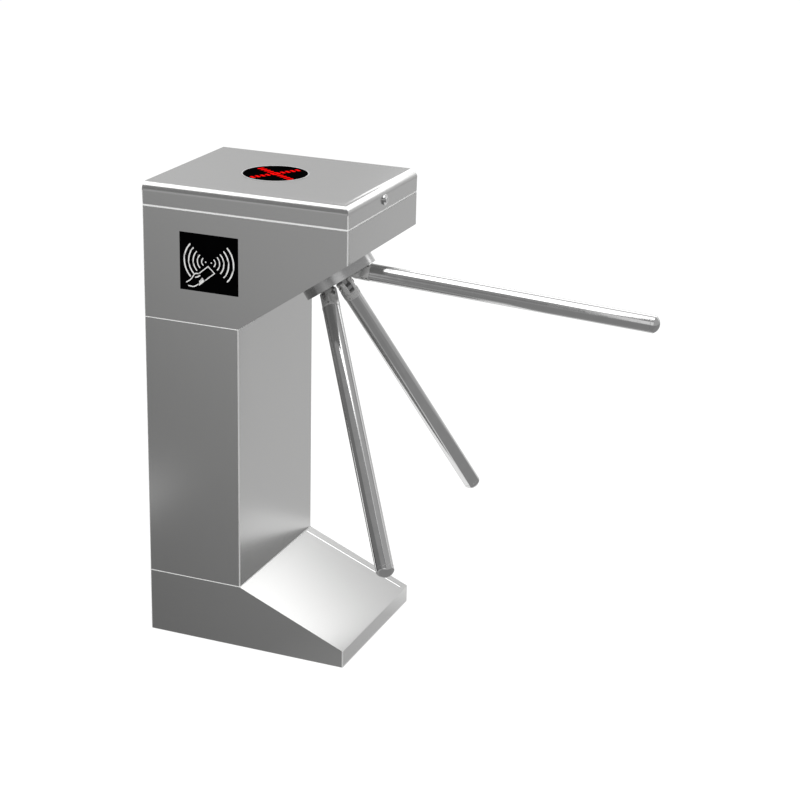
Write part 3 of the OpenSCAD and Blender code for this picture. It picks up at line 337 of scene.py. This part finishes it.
bm = bmesh.new()
rings = []
for down, y in BEAD_ENDS:
    middle = SLOPE_TOP + DOWN_SLOPE * down
    rings.append([bm.verts.new(middle + OUT_OF_SLOPE * BEAD_T * lift
                               + Vector((0, y + BEAD_W * side, 0)))
                  for side, lift in BEAD_PROFILE])
join_outlines(bm, *rings)
bm.faces.new(rings[0])
bm.faces.new(rings[1][::-1])
bmesh.ops.recalc_face_normals(bm, faces=bm.faces)
bead = shown(bm, "slope_seam", "cabinet", polished, sharp=BEAD_SHARP)


# Lamp cross: two strokes of paired lamps under the lens

LAMP_CENTRE = Vector((-0.0160, 0.0016, 0.9853))
STROKE_TURNS = (math.radians(59.4), math.radians(-31.8))
LAMPS_IN_STROKE = 10
LAMP_PITCH = 0.0122
LAMP_R, LAMP_RISE = 0.0041, 0.0004
PAIR_OFFSET = 0.0037
JUST_BELOW = 1e-6
ALL_SMOOTH = 180

bm = bmesh.new()
flat = Matrix.Diagonal((1, 1, LAMP_RISE / LAMP_R, 1))
for turn in STROKE_TURNS:
    along = Vector((math.cos(turn), math.sin(turn), 0))
    across = Vector((-along.y, along.x, 0))
    for k in range(LAMPS_IN_STROKE):
        for side in (-1, 1):
            place = (LAMP_CENTRE + along * (k - (LAMPS_IN_STROKE - 1) / 2) * LAMP_PITCH
                     + across * side * PAIR_OFFSET)
            dome = bmesh.ops.create_uvsphere(bm, u_segments=16, v_segments=8, radius=LAMP_R,
                                             matrix=Matrix.Translation(place) @ flat)
            low = [v for v in dome["verts"] if v.co.z < place.z - JUST_BELOW]
            bmesh.ops.delete(bm, geom=low, context="VERTS")
lamps = shown(bm, "lamp_dots", "lid", red, sharp=ALL_SMOOTH)


# Reader sign: waves on both sides of a hand that holds a card. The outlines are in millimetres
# from the window's middle, +X right and +Y up.

SIGN_X, SIGN_Z = -0.0765, 0.8328
SIGN_T = 0.0001
FACE_Y = Y_SIDE + 0.0003

WAVE_SETS = ((-6.9, 180, (9, 18.5, 28, 38, 48)),  # centre's X, way it opens, radii
             (5.6, 0, (9, 18.5, 28, 38.5, 49.5)))
WAVE_Y = 3
INNER_WAVE = 10                            # a wave below this radius spans INNER_HALF
INNER_HALF, OUTER_HALF = 50, 43.5          # half a wave's span in degrees
WAVE_WIDTH, WAVE_WIDENING = 2.1, 0.02
WAVE_DOT_R, WAVE_DOT_SIDES = 1.5, 20

CARD = [(-22.5, -22.5), (-1.6, -5.2), (12.6, -18.0), (-9.5, -36.0)]
ARM_ABOVE = [(-50.5, -43.5), (-43, -38.5), (-37.5, -32.5), (-32.5, -25.0), (-29, -23.2),
             (-22.5, -22.6)]
ARM_BELOW = [(-46, -50.5), (-39.5, -51.0), (-33.5, -50.6), (-27, -47.0), (-22.5, -43.5)]
FINGER_ABOVE = [(-30, -31.2), (-25.5, -29.6), (-20.5, -26.6), (-15.5, -23.9), (-12.0, -23.2)]
FINGER_BELOW = [(-12.6, -23.0), (-11.0, -25.4), (-12.4, -28.8), (-16.0, -33.2), (-21.0, -39.0)]
FINGERTIPS = [(-24.5, -44.5), (-19.0, -37.5), (-15.0, -32.5), (-12.6, -31.8), (-12.4, -34.2),
              (-9.3, -36.2), (-13.5, -40.6), (-18.5, -44.6), (-21.5, -47.6)]
CARD_LINE = 2.1
SHARPEST_MITRE = 0.5  # keeps the outline from growing spikes where a line bends sharply
HAND_LINES = ((ARM_ABOVE, 2.2), (ARM_BELOW, 2.3), (FINGER_ABOVE, 2.5), (FINGER_BELOW, 2.5))


def arc(cx, cy, radius, start, end, steps=20):
    """Points on a circle between two angles in degrees."""
    angles = [math.radians(start + (end - start) * k / steps) for k in range(steps + 1)]
    return [(cx + radius * math.cos(a), cy + radius * math.sin(a)) for a in angles]


def curve_through(points, steps=6):
    """A smooth line through the given points (Catmull-Rom)."""
    out = []
    ext = [points[0]] + points + [points[-1]]
    for p0, p1, p2, p3 in zip(ext, ext[1:], ext[2:], ext[3:]):
        for k in range(steps):
            t = k / steps
            out.append(tuple(
                0.5 * (2 * b + (c - a) * t + (2 * a - 5 * b + 4 * c - d) * t * t
                       + (3 * b - a - 3 * c + d) * t ** 3)
                for a, b, c, d in zip(p0, p1, p2, p3)))
    return out + [points[-1]]


def round_end(tip, way, width):
    """The points of a round end at tip, for a line that arrives there along way."""
    base = math.atan2(way.y, way.x)
    return [tip + Vector((math.cos(base + a), math.sin(base + a))) * (width / 2)
            for a in (math.radians(d) for d in (60, 30, 0, -30, -60))]


def stroke_outline(points, width):
    """The outline of a line of the given width with round ends."""
    pts = [Vector(p) for p in points]
    left, right = [], []
    for k, p in enumerate(pts):
        before = (p - pts[k - 1]).normalized() if k else (pts[1] - p).normalized()
        after = (pts[k + 1] - p).normalized() if k + 1 < len(pts) else before
        way = (before + after).normalized()
        side = Vector((-way.y, way.x)) * (width / 2) / max(SHARPEST_MITRE, way.dot(after))
        left.append(p + side)
        right.append(p - side)
    head = round_end(pts[-1], pts[-1] - pts[-2], width)
    tail = round_end(pts[0], pts[0] - pts[1], width)
    return left + head + right[::-1] + tail


def sign_outlines():
    """Closed outlines of all parts of the sign."""
    shapes = []
    for centre, way, radii in WAVE_SETS:
        for radius in radii:
            half = INNER_HALF if radius < INNER_WAVE else OUTER_HALF
            shapes.append(stroke_outline(arc(centre, WAVE_Y, radius, way - half, way + half),
                                         WAVE_WIDTH + WAVE_WIDENING * radius))
        shapes.append(arc(centre, WAVE_Y, WAVE_DOT_R, 0, 360 - 360 / WAVE_DOT_SIDES,
                          WAVE_DOT_SIDES - 1))
    shapes.append(stroke_outline(CARD, CARD_LINE))
    for points, width in HAND_LINES:
        shapes.append(stroke_outline(curve_through(points), width))
    return shapes + [FINGERTIPS]


def sign(name, side):
    """The printed sign on one window; side is -1 for the near one and 1 for the far one."""
    bm = bmesh.new()
    for outline in sign_outlines():
        layers = [[bm.verts.new((SIGN_X - side * x / 1000, side * y, SIGN_Z + z / 1000))
                   for x, z in outline]
                  for y in (FACE_Y - SIGN_T, FACE_Y + SIGN_T)]
        join_outlines(bm, *layers)
        bm.faces.new(layers[1])
    bmesh.ops.triangulate(bm, faces=[f for f in bm.faces if len(f.verts) > 4])
    bmesh.ops.recalc_face_normals(bm, faces=bm.faces)
    piece = shown(bm, name, "cabinet", white_print)


sign("reader_sign", -1)
sign("far_reader_sign", 1)


# Floor

WHITE = (1, 1, 1, 1)
FLOOR_Z, FLOOR_REACH = -0.0005, 40
FLOOR_DARK, FLOOR_LIGHT = (0.29, 0.29, 0.29), (0.31, 0.31, 0.31)
FLOOR_GLOW = 0.79


def rect(x0, y0, x1, y1):
    """The corners of a rectangle."""
    return [(x0, y0), (x1, y0), (x1, y1), (x0, y1)]


def stage_plane(name, corners, mat):
    """A flat face that belongs to the studio and not to the object."""
    bm = bmesh.new()
    bm.faces.new([bm.verts.new(c) for c in corners])
    plane = object_from(bm, name, mat)
    return plane


def maths(tree, operation, first, second):
    """A maths node's result; each operand is a socket or a number."""
    node = tree.nodes.new("ShaderNodeMath")
    node.operation = operation
    for socket, operand in zip(node.inputs, (first, second)):
        if isinstance(operand, (int, float)):
            socket.default_value = operand
        else:
            tree.links.new(operand, socket)
    return node.outputs[0]


def background_rays(tree):
    """1 for the rays that see the background: from the camera, in metal and through glass."""
    seen = tree.nodes.new("ShaderNodeLightPath").outputs
    direct_or_glossy = maths(tree, "MAXIMUM", seen["Is Camera Ray"], seen["Is Glossy Ray"])
    return maths(tree, "MAXIMUM", direct_or_glossy, seen["Is Transmission Ray"])


def floor_material():
    """A white floor that still takes the object's shadow."""
    mat, tree, bsdf, coords = shader("studio_floor")
    tree.nodes.remove(bsdf)
    diffuse = tree.nodes.new("ShaderNodeBsdfDiffuse")
    tree.links.new(colour_range(tree, noise(tree, coords, 30), FLOOR_DARK, FLOOR_LIGHT),
                   diffuse.inputs["Color"])
    glow = set_inputs(tree.nodes.new("ShaderNodeEmission"), Color=WHITE)
    tree.links.new(maths(tree, "MULTIPLY", background_rays(tree), FLOOR_GLOW),
                   glow.inputs["Strength"])
    total = tree.nodes.new("ShaderNodeAddShader")
    tree.links.new(diffuse.outputs[0], total.inputs[0])
    tree.links.new(glow.outputs[0], total.inputs[1])
    tree.links.new(total.outputs[0], tree.nodes["Material Output"].inputs["Surface"])
    return mat


stage_plane("floor", [(x, y, FLOOR_Z) for x, y in rect(-FLOOR_REACH, -FLOOR_REACH,
                                                       FLOOR_REACH, FLOOR_REACH)],
            floor_material())


# Studio cards: the tones of a photo studio as the metal mirrors them. They light nothing, and the
# camera doesn't see them.

NO_DRIFT = (0, 0, 0)
ROOM = 7                   # how far the floor cards and the walls reach
LAYER = 0.0002             # a floor card's height above the one it overlaps
NEAR_EDGE = -0.1776        # just off the cabinet's near side
TOE_EDGE = 0.2262          # just off the base's toe
TOE_END, TOE_MIDDLE = 0.31, 0.09
FOOT_NEAR, FOOT_FAR, FOOT_END = -0.35, 0.28, 0.32
NEAR_WALL, INNER_NEAR_WALL = -7, -6.98
SIDE_WALL, SIDE_WALL_TOP = 5, 8
ROOF_Z, OVERHEAD_Z, SHADE_Z = 7, 2.6, 1.3
WINDOW_GLOW = 2.6
WINDOW_Y = 2.5             # the window and all back cards stand in this plane
WINDOW_LEFT, WINDOW_RIGHT = -0.4, 1.0
WINDOW_FOOT, WINDOW_BEND, WINDOW_EDGE = 1.6, 1.75, 1.95
FOOT_SPLIT = 0.05
FAR_WALL_TOP = 1.86
PASSAGE_END, PASSAGE_TOP, SILL_FOOT, WALL_FOOT = 2.6, 1.63, 1.25, 0.8


def card(name, corners, level, drift=NO_DRIFT, brightest=1):
    """A card whose level holds at the frame's origin, and drifts by so much a metre along X, Y
    and Z, between 0 and brightest. Without a drift it has its level all over."""
    mat, tree, bsdf, coords = shader(name)
    tree.nodes.remove(bsdf)
    glow = set_inputs(tree.nodes.new("ShaderNodeEmission"), Color=WHITE, Strength=level)
    if any(drift):
        along = tree.nodes.new("ShaderNodeVectorMath")
        along.operation = "DOT_PRODUCT"
        along.inputs[1].default_value = drift
        tree.links.new(coords, along.inputs[0])
        limited = set_inputs(tree.nodes.new("ShaderNodeClamp"), Min=0, Max=brightest)
        tree.links.new(maths(tree, "ADD", along.outputs["Value"], level),
                       limited.inputs["Value"])
        tree.links.new(limited.outputs[0], glow.inputs["Strength"])
    tree.links.new(glow.outputs[0], tree.nodes["Material Output"].inputs["Surface"])
    plane = stage_plane(name, corners, mat)
    plane.visible_camera = False
    plane.visible_diffuse = False
    plane.visible_shadow = False
    plane.visible_transmission = False


def level_card(name, outline, z, level, drift=NO_DRIFT, brightest=1):
    """A card that lies or hangs level at height z."""
    card(name, [(x, y, z) for x, y in outline], level, drift, brightest)


def floor_card(name, layer, outline, level, drift=NO_DRIFT):
    """A card on the floor, in a numbered layer."""
    level_card(name, outline, layer * LAYER, level, drift)


def upright_card(name, start, end, z0, z1, level, drift=NO_DRIFT, brightest=1):
    """A card that stands between two points of the floor, from height z0 to z1."""
    (x0, y0), (x1, y1) = start, end
    card(name, [(x0, y0, z0), (x1, y1, z0), (x1, y1, z1), (x0, y0, z1)], level, drift, brightest)


def back_card(name, x0, x1, z0, z1, level, drift=NO_DRIFT, brightest=1):
    """An upright card in the window's plane, behind the cabinet as the camera sees it."""
    upright_card(name, (x0, WINDOW_Y), (x1, WINDOW_Y), z0, z1, level, drift, brightest)


floor_card("near_floor_front", 3,
           [(-ROOM, -ROOM), (-0.6, -ROOM), (-0.55, -3.6), (-ROOM, -3.6)], 0.45)
floor_card("near_floor", 3,
           [(-ROOM, -3.6), (-0.55, -3.6), (-0.45, -2.9), (-0.1, -1.7), (0.08, -0.8),
            (0.2, -0.48), (FOOT_END, NEAR_EDGE), (-ROOM, NEAR_EDGE)], 0.235, (0.145, -0.143, 0))
floor_card("near_floor_left", 4, rect(-1.2, -0.95, -0.54, FOOT_NEAR), 0.55)
floor_card("near_floor_toe", 4, rect(0.05, FOOT_NEAR, FOOT_END, NEAR_EDGE), 0.256, (0.44, 0, 0))
floor_card("arm_floor", 2, rect(-1, -ROOM, ROOM, NEAR_EDGE), 0.25)
floor_card("passage_floor", 4,
           [(0.3, NEAR_EDGE), (ROOM, NEAR_EDGE), (ROOM, ROOM), (4.0, ROOM), (1.4, 2.0),
            (0.62, FOOT_FAR), (0.3, FOOT_FAR)], 0.28)
floor_card("toe_floor", 5, rect(TOE_EDGE, NEAR_EDGE, TOE_END, TOE_MIDDLE), 0.66, (0, 0.35, 0))
floor_card("toe_floor_far", 5, rect(TOE_EDGE, TOE_MIDDLE, TOE_END, FOOT_FAR), 0.47,
           (0, 2.3, 0))
floor_card("far_floor", 1, rect(-ROOM, 0.25, ROOM, ROOM), 0.68)
floor_card("far_floor_near_foot", 2, rect(-0.5, 0.20, 0.3, 0.50), 1.0)

upright_card("near_wall", (-ROOM, NEAR_WALL), (ROOM, NEAR_WALL), 0, SIDE_WALL_TOP, 0.32,
             (0, 0, -0.035))
upright_card("left_wall", (-SIDE_WALL, NEAR_WALL), (-SIDE_WALL, 1.0), 0, SIDE_WALL_TOP, 0.18)
upright_card("right_wall", (SIDE_WALL, NEAR_WALL), (SIDE_WALL, ROOM), 0, 12, 0.42)
upright_card("low_far_wall", (1.0, ROOM), (SIDE_WALL, ROOM), 0, 1.2, 0.5)
upright_card("near_wall_foot", (-ROOM, INNER_NEAR_WALL), (-0.6, INNER_NEAR_WALL), 0, 2.5, 0.62)
upright_card("near_wall_high", (0.85, INNER_NEAR_WALL), (ROOM, INNER_NEAR_WALL), 1.0, 7.5, 0.8)

level_card("roof", rect(-SIDE_WALL, NEAR_WALL, ROOM, -1.6), ROOF_Z, 0.22)
level_card("overhead_shade",
           [(-0.7, -1.1), (0.62, -1.1), (0.62, -0.42), (0.4, -0.35), (-0.7, -0.35)],
           SHADE_Z, 0.29)
level_card("overhead_window", rect(-2.0, -1.0, 0.8, 0.5), OVERHEAD_Z, WINDOW_GLOW)
level_card("overhead_fade", rect(-2.0, -1.9, 0.8, -1.0), OVERHEAD_Z, 5.1, (0, 2.5, 0),
           WINDOW_GLOW)

card("window", [(x, WINDOW_Y, z) for x, z in
                ((-0.72, FAR_WALL_TOP), (WINDOW_LEFT, FAR_WALL_TOP), (WINDOW_LEFT, WINDOW_EDGE),
                 (WINDOW_RIGHT, WINDOW_EDGE), (WINDOW_RIGHT, PASSAGE_TOP), (1.65, PASSAGE_TOP),
                 (1.65, 2.9), (-0.72, 2.9))], WINDOW_GLOW)
back_card("window_foot", FOOT_SPLIT, WINDOW_RIGHT, WINDOW_FOOT, WINDOW_BEND, -2.525,
          (0, 0, 1.9), WINDOW_GLOW)
back_card("window_foot_high", FOOT_SPLIT, WINDOW_RIGHT, WINDOW_BEND, WINDOW_EDGE, -9.0,
          (0, 0, 5.6), WINDOW_GLOW)
back_card("window_foot_left", WINDOW_LEFT, FOOT_SPLIT, WINDOW_FOOT, WINDOW_EDGE, 0.85)
back_card("window_sill", WINDOW_LEFT, WINDOW_RIGHT, WALL_FOOT, WINDOW_FOOT, 0.72)
back_card("passage_sill", WINDOW_RIGHT, PASSAGE_END, SILL_FOOT, PASSAGE_TOP, 1.0)
back_card("passage_wall", WINDOW_RIGHT, PASSAGE_END, WALL_FOOT, SILL_FOOT, 0.72)
back_card("far_wall", -2.4, WINDOW_LEFT, 1.2, FAR_WALL_TOP, 0.545, (-0.075, 0, 0))


# World and lamps

WORLD_GLOW, BACKGROUND_GLOW = 0.75, 1  # on the object, and as the camera sees the background

world = bpy.data.worlds.new("studio")
bpy.context.scene.world = world
world.use_nodes = True
sky_tree = world.node_tree
sky = set_inputs(sky_tree.nodes["Background"], Color=WHITE)
sky_path = sky_tree.nodes.new("ShaderNodeLightPath")
sky_level = set_inputs(sky_tree.nodes.new("ShaderNodeMapRange"), To_Min=WORLD_GLOW,
                       To_Max=BACKGROUND_GLOW)
sky_tree.links.new(sky_path.outputs["Is Camera Ray"], sky_level.inputs["Value"])
sky_tree.links.new(sky_level.outputs["Result"], sky.inputs["Strength"])


def soft_lamp(name, place, target, size, power):
    """A square softbox that lights matt surfaces; metal mirrors the cards above instead."""
    lamp = bpy.data.lights.new(name, "AREA")
    lamp.shape = "SQUARE"
    lamp.size = size
    lamp.energy = power
    holder = bpy.data.objects.new(name, lamp)
    holder.location = place
    holder.rotation_euler = (Vector(target) - Vector(place)).to_track_quat("-Z", "Y").to_euler()
    holder.visible_camera = False
    holder.visible_glossy = False
    bpy.context.scene.collection.objects.link(holder)


soft_lamp("overhead", place=(0.5, -0.8, 4.0), target=(0.1, 0, 0.5), size=3.0, power=60)
soft_lamp("near_fill", place=(2.3, -4.3, 2.6), target=(0.1, 0, 0.6), size=2.5, power=66)


# Camera

AZIMUTH, ELEVATION, ROLL = (math.radians(a) for a in (21.855, 19.832, 1.299))
CAMERA_PLACE = (1.71324, -3.60130, 1.94064)
LENS_MM, SENSOR_MM = 90.231, 36

back = Vector((math.sin(AZIMUTH) * math.cos(ELEVATION), -math.cos(AZIMUTH) * math.cos(ELEVATION),
               math.sin(ELEVATION)))
level_right = Vector((0, 0, 1)).cross(back).normalized()
level_up = back.cross(level_right)
right = math.cos(ROLL) * level_right + math.sin(ROLL) * level_up
up = -math.sin(ROLL) * level_right + math.cos(ROLL) * level_up

camera_data = bpy.data.cameras.new("camera")
camera_data.lens = LENS_MM
camera_data.sensor_fit = "HORIZONTAL"
camera_data.sensor_width = SENSOR_MM
camera = bpy.data.objects.new("camera", camera_data)
bpy.context.scene.collection.objects.link(camera)
pose = Matrix((right, up, back)).transposed().to_4x4()
pose.translation = CAMERA_PLACE
camera.matrix_world = pose
bpy.context.scene.camera = camera
bpy.context.scene.view_settings.view_transform = "Standard"
